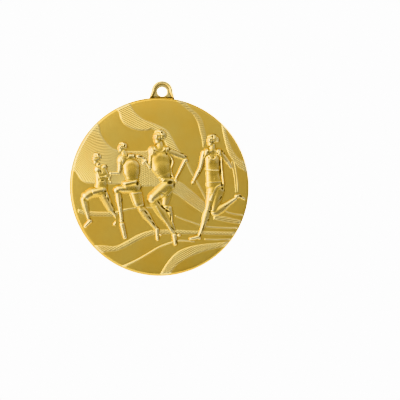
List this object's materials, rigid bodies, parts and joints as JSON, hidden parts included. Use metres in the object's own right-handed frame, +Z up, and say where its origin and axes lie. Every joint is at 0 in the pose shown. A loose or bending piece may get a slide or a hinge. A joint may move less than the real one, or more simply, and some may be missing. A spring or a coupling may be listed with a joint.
{
  "type": "sports finisher medal",
  "caption": "Round gold-coloured finisher medal with runners in relief over swept bands, a suspension loop and a blank reverse plate.",
  "frame": {"origin": "centre of the suspension loop's hole, half-way through the loop's thickness", "axes": "+X to the right and +Z up as the obverse is seen with the medal hanging, +Y out of the reverse; the obverse faces -Y"},
  "size_m": [0.05, 0.0043, 0.0548],
  "materials": {
    "gold_field": "satin gold plating on a cast zinc alloy",
    "gold_relief": "brighter gold plating on the raised figures",
    "gold_loop": "satin gold plating",
    "gold_plate": "brushed and gold anodised, blank",
    "adhesive": "matt transfer adhesive"
  },
  "bodies": {
    "root": {"medal_disc": "gold_field", "suspension_loop": "gold_loop", "runner_far_left": "gold_relief", "runner_left": "gold_relief", "runner_centre": "gold_relief", "runner_right": "gold_relief", "reverse_plate": "gold_plate", "plate_adhesive": "adhesive"}
  },
  "joints": []
}
